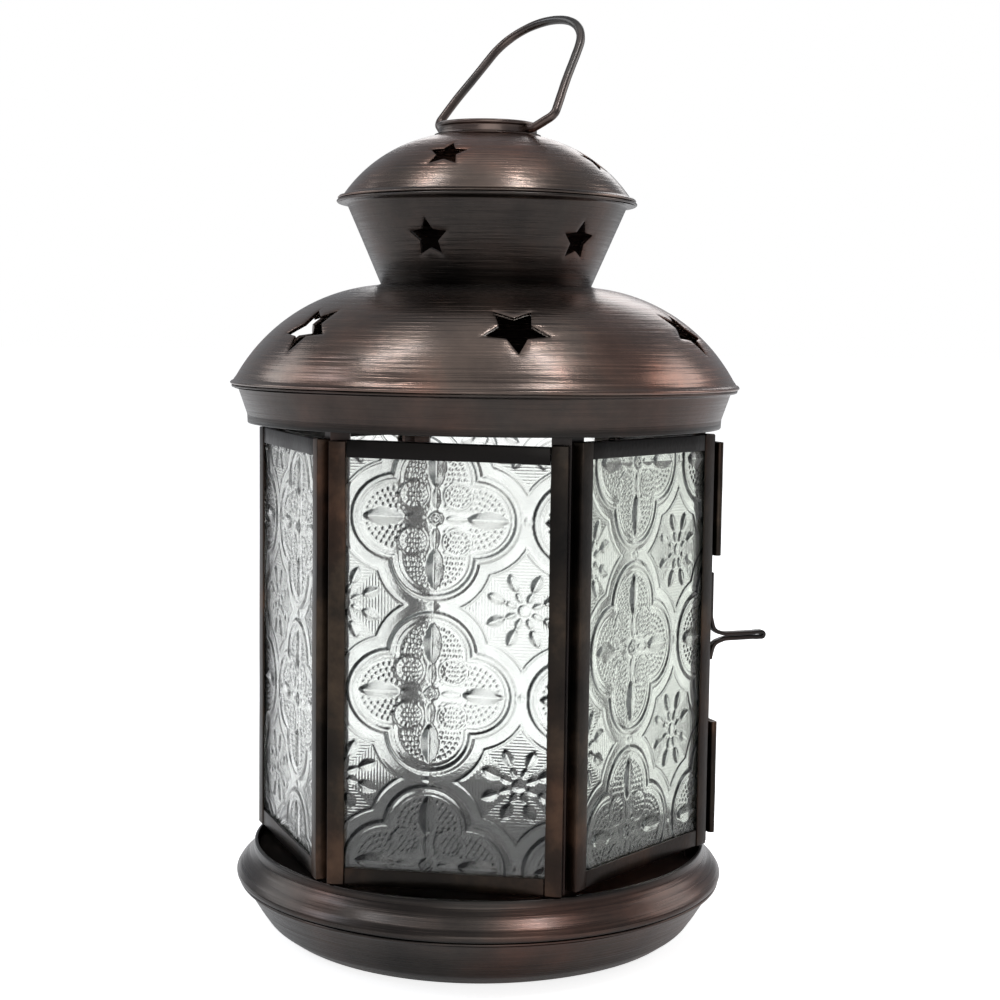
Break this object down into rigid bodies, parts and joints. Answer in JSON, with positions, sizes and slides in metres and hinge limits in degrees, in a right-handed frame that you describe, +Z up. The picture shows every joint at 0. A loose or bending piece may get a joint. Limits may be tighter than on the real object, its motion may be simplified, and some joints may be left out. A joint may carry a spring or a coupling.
{
  "type": "candle lantern",
  "caption": "Six-sided candle lantern with framed figured-glass panels, a hinged glass door, a star-pierced domed roof, a flared neck and cap, and a swinging wire bail.",
  "frame": {"origin": "centre of the flat foot that the lantern stands on", "axes": "+Z up along the lantern's axis, -Y towards the viewer of the front panel, +X to the viewer's right; the door faces +X and a little towards +Y"},
  "size_m": [0.1362, 0.127, 0.2325],
  "materials": {
    "spun_bronze": "glossy dark bronze lacquer over turned sheet",
    "folded_bronze": "satin dark bronze lacquer on folded strip",
    "inner_sheet": "dull dark lacquer",
    "cup_sheet": "satin dark lacquer",
    "figured_glass": "clear, embossed pattern on the outer face",
    "pull_wire": "satin dark grey",
    "bail_wire": "satin dark grey-bronze"
  },
  "bodies": {
    "lantern": {"base_dish": "spun_bronze", "base_ring": "spun_bronze", "floor_plate": "inner_sheet", "candle_cup": "cup_sheet", "cup_rivet": "cup_sheet", "corner_post_1": "folded_bronze", "corner_post_2": "folded_bronze", "corner_post_3": "folded_bronze", "corner_post_4": "folded_bronze", "corner_post_5": "folded_bronze", "corner_post_6": "folded_bronze", "frame_front": "folded_bronze", "frame_front_right": "folded_bronze", "frame_back": "folded_bronze", "frame_back_left": "folded_bronze", "frame_front_left": "folded_bronze", "pane_front": "figured_glass", "pane_front_right": "figured_glass", "pane_back": "figured_glass", "pane_back_left": "figured_glass", "pane_front_left": "figured_glass", "fixed_leaf_lower": "folded_bronze", "fixed_leaf_upper": "folded_bronze", "hinge_pin_lower": "pull_wire", "hinge_pin_upper": "pull_wire", "head_ring": "inner_sheet", "skirt_ring": "spun_bronze", "lower_dome": "spun_bronze", "neck_cone": "spun_bronze", "cap_dome": "spun_bronze", "vent_collar": "spun_bronze"},
    "door": {"door_frame": "folded_bronze", "door_pane": "figured_glass", "door_leaf_lower": "folded_bronze", "door_leaf_upper": "folded_bronze", "door_lip_lower": "folded_bronze", "door_lip_upper": "folded_bronze", "door_pull": "pull_wire"},
    "bail": {"bail_handle": "bail_wire"}
  },
  "joints": [
    {"name": "door_hinge", "type": "hinge", "parent": "lantern", "child": "door", "pos_m": [0.03694, 0.04613, 0.075], "axis": [0, 0, 1], "range_deg": [0, 170]},
    {"name": "bail_swing", "type": "hinge", "parent": "lantern", "child": "bail", "pos_m": [0, 0, 0.2007], "axis": [0.766, -0.6428, 0], "range_deg": [-60, 138]}
  ]
}
